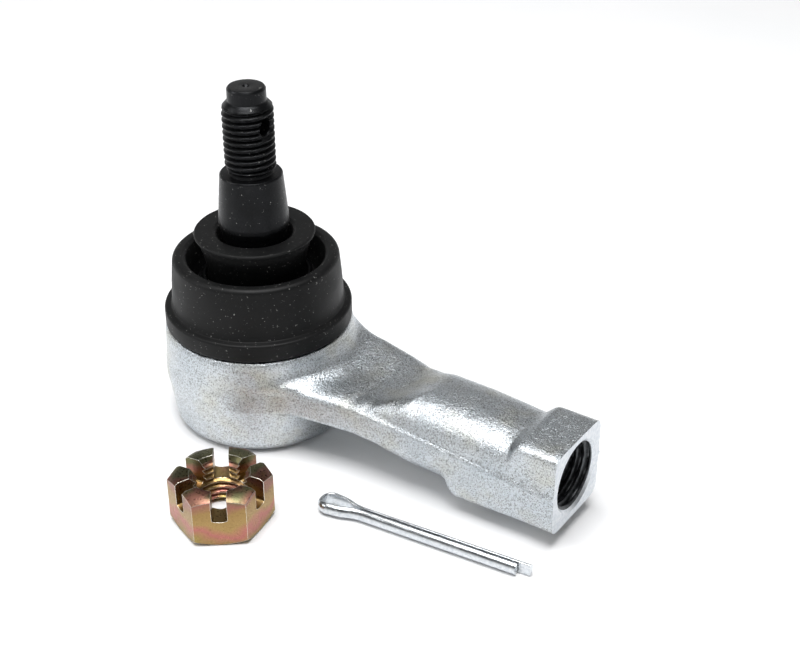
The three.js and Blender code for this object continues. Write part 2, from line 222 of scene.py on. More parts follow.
def forgedZinc():
    # zinc-plated forged steel: the shot-blasted skin under the plate breaks the light into bright
    # and dark grains half a millimetre across, cool in the light and olive in the shade; the plate's
    # own tooth is far finer and is drawn coarse enough to show
    size = {"grain": 0.5, "pits": 0.294, "tooth": 0.238, "swell": 3.33, "clouds": 8.33}
    material, tree = newMaterial("zinc-plated forged steel")
    place = millimetres(tree)
    grain = addNode(tree, "ShaderNodeTexNoise", {"Vector": place, "Scale": 1 / size["grain"],
                                                 "Detail": 3.5, "Roughness": 0.68})
    tooth = addNode(tree, "ShaderNodeTexNoise", {"Vector": place, "Scale": 1 / size["tooth"],
                                                 "Detail": 2.0, "Roughness": 0.6})
    pits = addNode(tree, "ShaderNodeTexNoise", {"Vector": place, "Scale": 1 / size["pits"],
                                                "Detail": 2.5, "Roughness": 0.7})
    swell = addNode(tree, "ShaderNodeTexNoise", {"Vector": place, "Scale": 1 / size["swell"], "Detail": 2.0})
    clouds = addNode(tree, "ShaderNodeTexNoise", {"Vector": place, "Scale": 1 / size["clouds"],
                                                  "Detail": 3.0})
    skin = addNode(tree, "ShaderNodeValToRGB", {"Fac": clouds},
                   stops=[(0.32, "#c3cad0"), (0.52, "#ccd1d5"), (0.70, "#c6c7c1")])
    dark = addNode(tree, "ShaderNodeValToRGB", {"Fac": pits}, stops=[(0.47, 0.0), (0.64, 0.8)])
    colour = addNode(tree, "ShaderNodeMix", {0: dark, 6: skin, 7: "#6f706c"}, data_type="RGBA").outputs[2]
    rough = addNode(tree, "ShaderNodeValToRGB", {"Fac": tooth}, stops=[(0.3, 0.24), (0.75, 0.38)])
    low = addNode(tree, "ShaderNodeBump", {"Height": swell, "Distance": 0.4 * mm, "Strength": 0.5})
    middle = addNode(tree, "ShaderNodeBump", {"Height": grain, "Distance": 0.18 * mm, "Strength": 0.9,
                                              "Normal": low})
    top = addNode(tree, "ShaderNodeBump", {"Height": tooth, "Distance": 0.08 * mm, "Strength": 0.7,
                                           "Normal": middle})
    shader = addNode(tree, "ShaderNodeBsdfPrincipled", {"Base Color": colour, "Metallic": 1.0,
                                                        "Roughness": rough, "Normal": top})
    addNode(tree, "ShaderNodeOutputMaterial", {"Surface": shader})
    return material


def machinedZinc(centreHeight):
    # zinc-plated machined steel: faced end and threads, smoother and paler, with tool rings a
    # little coarser than the real feed marks so that they show
    size = {"ring": 0.909, "tooth": 0.625}
    material, tree = newMaterial("zinc-plated machined steel")
    place = millimetres(tree)
    centred = addNode(tree, "ShaderNodeMapping", {"Vector": place, "Location": (0, 0, -centreHeight)})
    parts = addNode(tree, "ShaderNodeSeparateXYZ", {"Vector": centred})
    flat = addNode(tree, "ShaderNodeCombineXYZ", {"X": parts.outputs["Y"], "Y": parts.outputs["Z"]})
    rings = addNode(tree, "ShaderNodeTexWave", {"Vector": flat, "Scale": 1 / size["ring"], "Distortion": 0.8,
                                                "Detail": 2.0},
                    wave_type="RINGS", rings_direction="Z").outputs["Fac"]
    tooth = addNode(tree, "ShaderNodeTexNoise", {"Vector": place, "Scale": 1 / size["tooth"], "Detail": 3.0})
    colour = addNode(tree, "ShaderNodeValToRGB", {"Fac": tooth}, stops=[(0.35, "#c3c9cf"), (0.65, "#d9dcdf")])
    rough = addNode(tree, "ShaderNodeValToRGB", {"Fac": rings}, stops=[(0.0, 0.28), (1.0, 0.42)])
    bump = addNode(tree, "ShaderNodeBump", {"Height": rings, "Distance": 0.02 * mm, "Strength": 0.35})
    shader = addNode(tree, "ShaderNodeBsdfPrincipled", {"Base Color": colour, "Metallic": 1.0,
                                                        "Roughness": rough, "Normal": bump})
    addNode(tree, "ShaderNodeOutputMaterial", {"Surface": shader})
    return material


def blackOxide():
    # black oxide on turned steel: near black with a soft sheen, greyer where it rubs, and a few
    # pale specks and scuffs; the lathe marks are as fine as the feed, the tooth coarser than real
    size = {"lathe mark": 0.143, "mark length": 4.0, "tooth": 0.333, "patches": 4.55, "specks": 0.8}
    material, tree = newMaterial("black oxide turned steel")
    place = millimetres(tree)
    perMark = (1 / size["mark length"], 1 / size["mark length"], 1 / size["lathe mark"])
    turned = addNode(tree, "ShaderNodeMapping", {"Vector": place, "Scale": perMark})
    marks = addNode(tree, "ShaderNodeTexNoise", {"Vector": turned, "Scale": 1.0, "Detail": 3.0})
    tooth = addNode(tree, "ShaderNodeTexNoise", {"Vector": place, "Scale": 1 / size["tooth"],
                                                 "Detail": 3.0, "Roughness": 0.6})
    patches = addNode(tree, "ShaderNodeTexNoise", {"Vector": place, "Scale": 1 / size["patches"],
                                                   "Detail": 3.0})
    specks = addNode(tree, "ShaderNodeTexNoise", {"Vector": place, "Scale": 1 / size["specks"],
                                                  "Detail": 4.0, "Roughness": 0.72})
    base = addNode(tree, "ShaderNodeValToRGB", {"Fac": patches},
                   stops=[(0.3, "#101112"), (0.6, "#17181a"), (0.8, "#202021")])
    scuff = addNode(tree, "ShaderNodeValToRGB", {"Fac": specks}, stops=[(0.645, 0.0), (0.70, 0.8)])
    colour = addNode(tree, "ShaderNodeMix", {0: scuff, 6: base, 7: "#a3a3a0"}, data_type="RGBA").outputs[2]
    rough = addNode(tree, "ShaderNodeValToRGB", {"Fac": tooth}, stops=[(0.3, 0.27), (0.75, 0.46)])
    low = addNode(tree, "ShaderNodeBump", {"Height": marks, "Distance": 0.04 * mm, "Strength": 0.5})
    top = addNode(tree, "ShaderNodeBump", {"Height": tooth, "Distance": 0.04 * mm, "Strength": 0.4,
                                           "Normal": low})
    shader = addNode(tree, "ShaderNodeBsdfPrincipled", {"Base Color": colour, "Metallic": 0.75,
                                                        "Roughness": rough, "Normal": top})
    addNode(tree, "ShaderNodeOutputMaterial", {"Surface": shader})
    return material


def bootRubber():
    # moulded neoprene: satin black, a little bloom, and pale dust caught on it; the dust and the
    # mould's tooth are drawn coarser than real so that they show
    size = {"bloom": 6.25, "tooth": 0.357, "dust": 0.526}
    material, tree = newMaterial("moulded neoprene")
    place = millimetres(tree)
    bloom = addNode(tree, "ShaderNodeTexNoise", {"Vector": place, "Scale": 1 / size["bloom"], "Detail": 4.0})
    tooth = addNode(tree, "ShaderNodeTexNoise", {"Vector": place, "Scale": 1 / size["tooth"], "Detail": 3.0})
    dust = addNode(tree, "ShaderNodeTexNoise", {"Vector": place, "Scale": 1 / size["dust"],
                                                "Detail": 2.0, "Roughness": 0.8})
    base = addNode(tree, "ShaderNodeValToRGB", {"Fac": bloom}, stops=[(0.3, "#050506"), (0.7, "#0a0b0b")])
    fleck = addNode(tree, "ShaderNodeValToRGB", {"Fac": dust}, stops=[(0.675, 0.0), (0.72, 0.75)])
    colour = addNode(tree, "ShaderNodeMix", {0: fleck, 6: base, 7: "#8e8e8b"}, data_type="RGBA").outputs[2]
    rough = addNode(tree, "ShaderNodeValToRGB", {"Fac": bloom}, stops=[(0.3, 0.44), (0.7, 0.58)])
    bump = addNode(tree, "ShaderNodeBump", {"Height": tooth, "Distance": 0.03 * mm, "Strength": 0.35})
    shader = addNode(tree, "ShaderNodeBsdfPrincipled", {"Base Color": colour, "Roughness": rough,
                                                        "IOR": 1.3, "Normal": bump})
    addNode(tree, "ShaderNodeOutputMaterial", {"Surface": shader})
    return material


def yellowZinc():
    # yellow dichromate over zinc: a tan gold film that turns pink low on the flats and green at
    # the top as it thins, stained in spots under half a millimetre wide, and a painted highlight,
    # a thin near-white line, along every corner
    size = {"film": 10.0, "drift": 6.25, "grain": 0.385, "painted highlight edge": 0.16}
    material, tree = newMaterial("yellow-chromated zinc plate")
    place = millimetres(tree)
    height = addNode(tree, "ShaderNodeSeparateXYZ", {"Vector": place}).outputs["Z"]
    drift = addNode(tree, "ShaderNodeTexNoise", {"Vector": place, "Scale": 1 / size["drift"], "Detail": 1.5})
    grain = addNode(tree, "ShaderNodeTexNoise", {"Vector": place, "Scale": 1 / size["grain"], "Detail": 3.0})
    level = addNode(tree, "ShaderNodeMath", {0: height, 1: 1 / size["film"]}, operation="MULTIPLY")
    spread = addNode(tree, "ShaderNodeMath", {0: drift, 1: 0.9, 2: -0.45}, operation="MULTIPLY_ADD")
    film = addNode(tree, "ShaderNodeMath", {0: level, 1: spread}, operation="ADD", use_clamp=True)
    tint = addNode(tree, "ShaderNodeValToRGB", {"Fac": film},
                   stops=[(0.06, "#94804f"), (0.24, "#a86c64"), (0.44, "#9c8255"),
                          (0.74, "#94794e"), (0.88, "#8f6357"), (1.0, "#676448")])
    stain = addNode(tree, "ShaderNodeValToRGB", {"Fac": grain}, stops=[(0.56, 0.0), (0.76, 0.4)])
    stained = addNode(tree, "ShaderNodeMix", {0: stain, 6: tint, 7: "#6a5236"}, data_type="RGBA").outputs[2]
    rough = addNode(tree, "ShaderNodeValToRGB", {"Fac": grain}, stops=[(0.3, 0.24), (0.75, 0.42)])
    rounded = addNode(tree, "ShaderNodeBevel", {"Radius": size["painted highlight edge"] * mm}, samples=8)
    face = addNode(tree, "ShaderNodeNewGeometry").outputs["Normal"]
    turned = addNode(tree, "ShaderNodeVectorMath", {0: rounded, 1: face},
                     operation="DOT_PRODUCT").outputs["Value"]
    # painted highlight: near white wherever the bevelled normal turns away from the face's own normal, that
    # is along every corner
    paintedEdgeHighlight = addNode(tree, "ShaderNodeValToRGB", {"Fac": turned}, stops=[(0.90, 1.0), (0.985, 0.0)])
    colour = addNode(tree, "ShaderNodeMix", {0: paintedEdgeHighlight, 6: stained, 7: "#f0ece0"},
                     data_type="RGBA").outputs[2]
    bump = addNode(tree, "ShaderNodeBump", {"Height": grain, "Distance": 0.04 * mm, "Strength": 0.4,
                                            "Normal": rounded})
    shader = addNode(tree, "ShaderNodeBsdfPrincipled", {"Base Color": colour, "Metallic": 1.0,
                                                        "Roughness": rough, "Normal": bump})
    addNode(tree, "ShaderNodeOutputMaterial", {"Surface": shader})
    return material


def brightZinc(turn):
    # bright zinc on drawn wire: glossy, with long faint draw marks along the pin, drawn coarser
    # than real so that they show
    size = {"draw mark": 0.286, "mark length": 6.67, "tooth": 0.556}
    material, tree = newMaterial("bright zinc-plated drawn wire")
    place = millimetres(tree)
    perMark = (1 / size["mark length"], 1 / size["draw mark"], 1 / size["draw mark"])
    drawn = addNode(tree, "ShaderNodeMapping", {"Vector": place, "Scale": perMark,
                                                "Rotation": (0, 0, -math.radians(turn))})
    marks = addNode(tree, "ShaderNodeTexNoise", {"Vector": drawn, "Scale": 1.0, "Detail": 3.0})
    tooth = addNode(tree, "ShaderNodeTexNoise", {"Vector": place, "Scale": 1 / size["tooth"], "Detail": 3.0})
    colour = addNode(tree, "ShaderNodeValToRGB", {"Fac": tooth}, stops=[(0.3, "#bcc1c6"), (0.7, "#d8dbdd")])
    rough = addNode(tree, "ShaderNodeValToRGB", {"Fac": marks}, stops=[(0.3, 0.16), (0.7, 0.3)])
    bump = addNode(tree, "ShaderNodeBump", {"Height": marks, "Distance": 0.03 * mm, "Strength": 0.4})
    shader = addNode(tree, "ShaderNodeBsdfPrincipled", {"Base Color": colour, "Metallic": 1.0,
                                                        "Roughness": rough, "Normal": bump})
    addNode(tree, "ShaderNodeOutputMaterial", {"Surface": shader})
    return material


def springSteel():
    # oiled spring steel: dark grey and rolled, with uneven patches of scale under the oil
    size = {"scale": 0.714}
    # the same dark steel is the painted shade inside the housing's bore
    material, tree = newMaterial("oiled spring steel")
    place = millimetres(tree)
    rolled = addNode(tree, "ShaderNodeTexNoise", {"Vector": place, "Scale": 1 / size["scale"], "Detail": 4.0})
    colour = addNode(tree, "ShaderNodeValToRGB", {"Fac": rolled}, stops=[(0.3, "#3c3e40"), (0.7, "#606264")])
    rough = addNode(tree, "ShaderNodeValToRGB", {"Fac": rolled}, stops=[(0.3, 0.3), (0.7, 0.46)])
    bump = addNode(tree, "ShaderNodeBump", {"Height": rolled, "Distance": 0.03 * mm, "Strength": 0.3})
    shader = addNode(tree, "ShaderNodeBsdfPrincipled", {"Base Color": colour, "Metallic": 1.0,
                                                        "Roughness": rough, "Normal": bump})
    addNode(tree, "ShaderNodeOutputMaterial", {"Surface": shader})
    return material


def acetal():
    # moulded acetal: waxy off-white, with a faint tooth from the mould, drawn coarser than real
    size = {"tone": 2.5, "tooth": 0.333}
    material, tree = newMaterial("moulded acetal")
    place = millimetres(tree)
    tone = addNode(tree, "ShaderNodeTexNoise", {"Vector": place, "Scale": 1 / size["tone"], "Detail": 3.0})
    tooth = addNode(tree, "ShaderNodeTexNoise", {"Vector": place, "Scale": 1 / size["tooth"], "Detail": 2.0})
    colour = addNode(tree, "ShaderNodeValToRGB", {"Fac": tone}, stops=[(0.3, "#e2ded1"), (0.7, "#eeebe2")])
    rough = addNode(tree, "ShaderNodeValToRGB", {"Fac": tooth}, stops=[(0.3, 0.38), (0.7, 0.5)])
    bump = addNode(tree, "ShaderNodeBump", {"Height": tooth, "Distance": 0.02 * mm, "Strength": 0.3})
    shader = addNode(tree, "ShaderNodeBsdfPrincipled", {"Base Color": colour, "Roughness": rough, "IOR": 1.48,
                                                        "Subsurface Weight": 0.15,
                                                        "Subsurface Scale": 1.0 * mm, "Normal": bump})
    addNode(tree, "ShaderNodeOutputMaterial", {"Surface": shader})
    return material


view = {
    "place": (0.16180, -0.18654, 0.16693),
    "aim": (0.03460, 0.0, 0.02983),
    "lens": 62.96,
    "sensor": 36,
}


def turnedTo(aim, place):
    return (Vector(aim) - Vector(place)).to_track_quat("-Z", "Y").to_euler()


def setView():
    camera = bpy.data.objects.new("camera", bpy.data.cameras.new("camera"))
    scene.collection.objects.link(camera)
    camera.location = view["place"]
    camera.rotation_euler = turnedTo(view["aim"], view["place"])
    camera.data.lens = view["lens"]
    camera.data.sensor_width = view["sensor"]
    camera.data.clip_start = 0.01
    camera.data.clip_end = 10
    scene.camera = camera


studio = {
    "softboxes": {"top": {"place": (0.05, -0.09, 0.74), "size": 0.5, "power": 7.2},
                  "left": {"place": (-0.5, -0.45, 0.5), "size": 0.3, "power": 1.5}},
    "aim": (0.03, 0, 0.02),
    # a white sweep low down, a dark room above it, and the pale ceiling round the softbox
    "sky": [(0.0, 0.95), (0.2, 0.95), (0.36, 0.10), (0.82, 0.10), (0.97, 0.25)],
}


def lightStudio():
    for name, softbox in studio["softboxes"].items():
        lamp = bpy.data.lights.new("softbox " + name, "AREA")
        lamp.shape = "SQUARE"
        lamp.size = softbox["size"]
        lamp.energy = softbox["power"]
        box = bpy.data.objects.new("softbox " + name, lamp)
        scene.collection.objects.link(box)
        box.location = softbox["place"]
        box.rotation_euler = turnedTo(studio["aim"], softbox["place"])
    world = bpy.data.worlds.new("white room")
    scene.world = world
    world.use_nodes = True
    tree = world.node_tree
    tree.nodes.clear()
    way = addNode(tree, "ShaderNodeTexCoord").outputs["Generated"]
    rise = addNode(tree, "ShaderNodeSeparateXYZ", {"Vector": way}).outputs["Z"]
    glow = addNode(tree, "ShaderNodeValToRGB", {"Fac": rise}, stops=studio["sky"])
    sky = addNode(tree, "ShaderNodeBackground", {"Color": glow})
    addNode(tree, "ShaderNodeOutputWorld", {"Surface": sky})
    scene.view_settings.view_transform = "Standard"


# in metres, and a tenth of a millimetre low, so that it never shares a plane with the base and nut
paper = {"half": 3.0, "drop": 0.1 * mm, "toneSize": 50}


def layFloor():
    half, low = paper["half"], -paper["drop"]
    corners = [(-half, -half, low), (half, -half, low), (half, half, low), (-half, half, low)]
    floor = meshFrom("floor", corners, [(0, 1, 2, 3)])
    material, tree = newMaterial("white paper floor")
    tone = addNode(tree, "ShaderNodeTexNoise", {"Vector": millimetres(tree), "Scale": 1 / paper["toneSize"],
                                                "Detail": 2.0})
    colour = addNode(tree, "ShaderNodeValToRGB", {"Fac": tone}, stops=[(0.3, "#f6f7f8"), (0.7, "#f9f9fa")])
    shader = addNode(tree, "ShaderNodeBsdfPrincipled", {"Base Color": colour, "Roughness": 0.6,
                                                        "Specular IOR Level": 0.3})
    addNode(tree, "ShaderNodeOutputMaterial", {"Surface": shader})
    floor.data.materials.append(material)


setView()
lightStudio()
layFloor()
print("camera, light and floor set")


housing = {
    "axisHeight": 12.0,
    "length": 73.5,
    "grid": 0.36,
    "fieldLow": (-20.6, -20.6, -1.0),
    "fieldHigh": (75.6, 20.6, 26.0),
    # the turned end, as radius and height
    "profile": [(0, 0), (15.6, 0), (16.9, 0.25), (17.8, 0.95), (18.3, 1.9), (18.65, 4.3), (19.05, 7.8),
                (19.4, 10.0), (19.55, 10.6), (19.58, 12.2), (19.52, 14.0), (19.38, 14.5), (19.15, 18.9),
                (19.05, 20.7), (18.6, 21.6), (16.0, 21.6), (16.0, 25.0), (0, 25.0)],
    # the shank: x, half width, extra on +Y, up, down, squareness above and below, rise towards +Y
    "stations": [(2, 14.6, 0.6, 4.9, 2.4, 7, 5, 0.25), (14, 13.0, 1.4, 4.7, 2.4, 7, 5, 0.25),
                 (22, 11.4, 2.0, 4.5, 2.7, 7, 5, 0.3), (30, 10.0, 1.9, 4.3, 3.0, 6, 5, 0.3),
                 (35, 9.8, 0.9, 5.1, 4.2, 4.0, 3.6, 0.15), (39, 9.6, 0.7, 7.0, 6.6, 3.0, 2.6, 0),
                 (42, 9.5, 0.8, 8.0, 8.0, 2.8, 2.3, 0), (49, 9.3, 0.9, 8.0, 8.3, 2.8, 2.3, 0),
                 (50.8, 9.3, 0.9, 8.0, 8.4, 2.8, 3, 0), (52.6, 9.2, 0.9, 7.9, 8.7, 2.8, 9, 0),
                 (57, 9.1, 0.8, 7.7, 8.7, 2.8, 9, 0), (61.2, 8.9, 0.8, 7.4, 8.7, 2.8, 9, 0),
                 (63.5, 8.75, 0.4, 7.4, 8.7, 3, 9, 0), (65.2, 8.65, 0.1, 8.3, 8.7, 8, 9, 0),
                 (80, 8.5, 0, 8.3, 8.7, 9, 9, 0)],
    "shankStart": 2.5,
    # the barrel's top starts later along its middle and sooner on the -Y side
    "nose": {"later": 1.4, "sooner": 2.4, "half": 9, "from": 28, "grow": 5, "to": 50, "fade": 6},
    # the parting flash, level with the axis at the end and climbing towards the turned end
    "flash": {"height": 0.55, "thick": 0.5, "climb": 3.1, "run": 38.5, "top": 1.05, "from": 27, "grow": 5,
              "inner": 4},
    # how softly the shank runs into the turned end, low down and above the web
    "fillet": {"low": 1.8, "extra": 3.6, "from": 2.4, "over": 2.2},
    # the cavity for the seats, as radius, height and corner radius
    "socket": [(0, -1, 0), (11.4, -1, 0), (12.3, 0.1, 0.25), (13.3, 1.1, 0.1), (13.3, 19.3, 0.4),
               (9.2, 19.3, 0.3), (11.2, 25.0, 0), (11.2, 26.5, 0), (0, 26.5, 0)],
    "boreRadius": 6.2,
    "threadRadius": 7.0,
    "threadPitch": 1.5,
    "threadStep": 0.16,
    "threadRunout": 3.0,
    "boreStart": 45.5,
    "drillPoint": 3.4,
    "chamfer": 7.25,
    "chamferSlope": 1.1,
}
zincSkin = forgedZinc()
zincCut = machinedZinc(housing["axisHeight"])
# the spring's dark steel also paints the shade inside the housing's bore
springSteelAndBoreShade = springSteel()


def profileDistance(r, z, corners):
    # signed distance to a closed outline in the radius-height plane, negative inside
    best = np.full(r.shape, 1e9)
    inside = np.zeros(r.shape, dtype=bool)
    for (r0, z0), (r1, z1) in zip(corners, corners[1:] + corners[:1]):
        er, ez = r1 - r0, z1 - z0
        t = np.clip(((r - r0) * er + (z - z0) * ez) / (er * er + ez * ez), 0, 1)
        if not (r0 == 0 and r1 == 0):
            best = np.minimum(best, (r - r0 - t * er) ** 2 + (z - z0 - t * ez) ** 2)
        crosses = (z0 > z) != (z1 > z)
        if ez != 0:
            inside ^= crosses & (r < r0 + (z - z0) / ez * er)
    return np.where(inside, -1, 1) * np.sqrt(best)


def smoothStations(samples=800, window=23):
    # every column of the stations at steps of about a tenth of a millimetre, its corners eased
    table = np.array(housing["stations"], dtype=float)
    fine = np.linspace(table[0, 0], table[-1, 0], samples)
    kernel = np.hanning(window)
    columns = []
    for column in table.T[1:]:
        padded = np.pad(np.interp(fine, table[:, 0], column), window // 2, mode="edge")
        columns.append(np.convolve(padded, kernel / kernel.sum(), mode="valid"))
    return fine, columns


fineX, fineStations = smoothStations()


def ramp(value, start, length):
    # 0 before start and 1 after start + length; a negative length falls with the value instead
    return np.clip((value - start) / length, 0, 1)


def forgingField(points):
    # signed field of the forging in millimetres: turned housing, swept shank, soft fillets
    x, y, z = points[..., 0], points[..., 1], points[..., 2]
    body = profileDistance(np.hypot(x, y), z, housing["profile"])
    n = housing["nose"]
    shift = n["later"] * (1 - ramp(np.abs(y), 0, n["half"])) - n["sooner"] * ramp(-y, 0, n["half"])
    nose = x - shift * ramp(x, n["from"], n["grow"]) * ramp(x, n["to"], -n["fade"])
    along = [x, x, nose, x, nose, x, x]
    half, far, up, down, above, below, lean = [np.interp(a, fineX, c) for a, c in zip(along, fineStations)]
    half = half + far * (y > 0)
    h = z - housing["axisHeight"]
    up = up * (1 + lean * np.clip(y / half, 0, 1) ** 1.5)
    reach = np.where(h >= 0, up, down)
    power = np.where(h >= 0, above, below)
    size = ((np.abs(y) / half) ** power + (np.abs(h) / reach) ** power + 1e-9) ** (1 / power)
    nearAxis = 0.05
    out = np.hypot(y, h) * (1 - 1 / np.maximum(size, nearAxis))
    shank = np.where(size > nearAxis, out, -np.minimum(half, reach))
    shank = np.maximum(shank, housing["shankStart"] - x)
    f = housing["flash"]
    climb = np.clip((housing["length"] - x) / f["run"], 0, f["top"]) * f["climb"]
    ridge = np.exp(-(((h - climb) / f["thick"]) ** 2)) * f["height"]
    shank = shank - ramp(x, f["from"], f["grow"]) * ridge * (np.abs(y) > f["inner"])
    b = housing["fillet"]
    soft = b["low"] + b["extra"] * ramp(h, b["from"], b["over"])
    mix = np.clip(0.5 + 0.5 * (shank - body) / soft, 0, 1)
    return shank * (1 - mix) + body * mix - soft * mix * (1 - mix)


def settle(field, p, rounds, probe=0.02):
    # points pulled down the field's slope onto its zero
    for _ in range(rounds):
        d = field(p)
        steps = np.eye(3) * probe
        slope = np.stack([(field(p + e) - field(p - e)) / (2 * probe) for e in steps], axis=-1)
        p = p - d[:, None] * slope / np.maximum((slope ** 2).sum(1), 0.05)[:, None]
    return p


def netSurface(field, low, high, step, relax=0.6):
    # surface nets over a regular grid, then relaxed and pulled onto the field's zero
    axes = [np.arange(a, b + step, step) for a, b in zip(low, high)]
    values = np.empty([len(a) for a in axes], dtype=np.float32)
    yy, zz = np.meshgrid(axes[1], axes[2], indexing="ij")
    for i, x in enumerate(axes[0]):
        values[i] = field(np.stack([np.full_like(yy, x), yy, zz], axis=-1))
    inside = values < 0
    total = np.zeros([n - 1 for n in inside.shape], dtype=np.int8)
    corners = [(i, j, k) for i in (0, 1) for j in (0, 1) for k in (0, 1)]
    for i, j, k in corners:
        total += inside[i:i + total.shape[0], j:j + total.shape[1], k:k + total.shape[2]]
    cells = np.argwhere((total > 0) & (total < 8))
    index = np.full(total.shape, -1, dtype=np.int64)
    index[tuple(cells.T)] = np.arange(len(cells))
    sums = np.zeros((len(cells), 3))
    hits = np.zeros(len(cells))
    for a in range(8):
        for b in range(a + 1, 8):
            ca, cb = np.array(corners[a]), np.array(corners[b])
            if np.abs(ca - cb).sum() != 1:
                continue
            va = values[tuple((cells + ca).T)]
            vb = values[tuple((cells + cb).T)]
            cross = (va < 0) != (vb < 0)
            t = np.where(cross, va / np.where(cross, va - vb, 1), 0)
            sums += np.where(cross[:, None], ca + t[:, None] * (cb - ca), 0)
            hits += cross
    place = (cells + sums / hits[:, None]) * step + np.array(low)
    quads = []
    for axis in range(3):
        u, v = (axis + 1) % 3, (axis + 2) % 3
        first = [slice(None)] * 3
        second = [slice(None)] * 3
        first[axis], second[axis] = slice(0, -1), slice(1, None)
        edges = np.argwhere(inside[tuple(first)] != inside[tuple(second)])
        within = (edges[:, u] > 0) & (edges[:, v] > 0)
        within &= (edges[:, u] < total.shape[u]) & (edges[:, v] < total.shape[v])
        edges = edges[within]
        ring = []
        for du, dv in ((-1, -1), (0, -1), (0, 0), (-1, 0)):
            cell = edges.copy()
            cell[:, u] += du
            cell[:, v] += dv
            ring.append(index[tuple(cell.T)])
        ring = np.stack(ring, axis=1)
        flip = ~inside[tuple(edges.T)]
        ring[flip] = ring[flip][:, ::-1]
        quads.append(ring)
    quads = np.vstack(quads)
    for _ in range(3):
        near = np.zeros_like(place)
        count = np.zeros(len(place))
        for a, b in ((0, 1), (1, 2), (2, 3), (3, 0)):
            np.add.at(near, quads[:, a], place[quads[:, b]])
            np.add.at(near, quads[:, b], place[quads[:, a]])
            np.add.at(count, quads[:, a], 1)
            np.add.at(count, quads[:, b], 1)
        place = settle(field, place * (1 - relax) + near / count[:, None] * relax, 2)
    return place, quads


def boreCutter():
    h = housing
    start, end, past = h["boreStart"], h["length"], h["length"] + 2.0
    heights = np.concatenate([np.arange(start, end, h["threadStep"]), [end, past]])
    line = [(0, start - h["drillPoint"])] + [(h["boreRadius"], z) for z in heights] + [(0, past)]

    def wave(r, z, angles):
        deep = (h["threadRadius"] - r) * ramp(z, start + h["threadRunout"], h["threadRunout"])
        radii = r + deep * threadCrest(z, h["threadPitch"], angles)
        return np.maximum(radii, h["chamfer"] - max(0.0, end - z) * h["chamferSlope"])

    cutter = turnedMesh("bore cutter", line, 72, radiusAt=wave)
    alongX = Matrix.Rotation(math.pi / 2, 4, "Y")
    cutter.data.transform(Matrix.Translation((0, 0, h["axisHeight"] * mm)) @ alongX)
    return cutter


def endCutter():
    # a box past the end face, so that the shank ends in one flat cut
    end = housing["length"]
    section = [(-30, -10), (30, -10), (30, 40), (-30, 40)]
    near, far = [[(x * mm, y * mm, z * mm) for y, z in section] for x in (end, end + 10)]
    return prismMesh("end cutter", near, far)


def paintHousing(data):
    # forged skin by default, machined where it was faced or turned, and dark inside the bore: the spring's
    # dark steel there stands for the oil film on the threads and for painted shade
    h = housing
    for material in (zincSkin, zincCut, springSteelAndBoreShade):
        data.materials.append(material)
    centre = np.empty(len(data.polygons) * 3)
    data.polygons.foreach_get("center", centre)
    x, y, z = centre.reshape(-1, 3).T / mm
    fromBore = np.hypot(y, z - h["axisHeight"])
    socketWall = max(r for r, height, corner in h["socket"])
    slack = 0.1
    inBore = x > h["boreStart"] - 4.5
    cut = (x > h["length"] - 0.02) | (inBore & (fromBore < h["chamfer"] + slack / 2))
    cut |= np.hypot(x, y) < socketWall + slack
    # painted shade: the bore's threads past the mouth take the dark spring steel material
    paintedBoreShade = inBore & (fromBore < h["threadRadius"] + slack) & (x < h["length"] - 0.5)
    data.polygons.foreach_set("material_index", np.where(paintedBoreShade, 2, cut).astype(np.int32))


def makeHousing():
    h = housing
    verts, quads = netSurface(forgingField, h["fieldLow"], h["fieldHigh"], h["grid"])
    body = meshFrom("housing_forging", verts * mm, quads)
    socket = turnedMesh("socket cutter", roundedProfile(h["socket"]), 128)
    cutWith(body, [endCutter(), socket, boreCutter()])
    body.data.materials.clear()
    paintHousing(body.data)
    shadeSmooth(body.data, 42)
    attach(body, "housing")
    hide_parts("housing_body")
    print("housing made:", len(body.data.polygons), "faces")


makeHousing()


stud = {
    "ballRadius": 9.6,
    "ballHeight": 12.2,
    "flatDrop": 7.9,
    "neckRadius": 5.2,
    # neck, journal, collar, taper and undercut, then the plain point, as radius, height and corner
    "shaft": [(5.2, 22, 0), (5.2, 27, 1.2), (6.45, 29.5, 1.2), (6.45, 41.2, 1.5), (6.93, 43.0, 1.0),
              (6.95, 43.8, 0.8), (6.12, 53.3, 0.2), (5.9, 53.6, 0.12), (4.35, 53.6, 0.15), (4.15, 54.2, 0.1)],
    "point": [(4.75, 67.3, 0), (4.15, 67.95, 0.2), (3.72, 68.3, 0.25), (3.7, 70.6, 0.2), (3.4, 71.0, 0.12),
              (0.75, 71.0, 0.1), (0.0, 70.0, 0)],
    "threadRadius": 4.95,
    "rootRadius": 4.2,
    "pitch": 1.25,
    "threadLow": 54.3,
    "threadHigh": 67.2,
    "threadStep": 0.08,
    "runout": 0.7,
    "wear": 0.03,
    # half of the cotter hole, from its mouth to its middle, as radius, distance and corner radius
    "crossHole": [(0, 8, 0), (2.7, 8, 0), (2.7, 5.2, 0), (1.6, 4.0, 0.5)],
    "holeHeight": 63.7,
}
oxide = blackOxide()


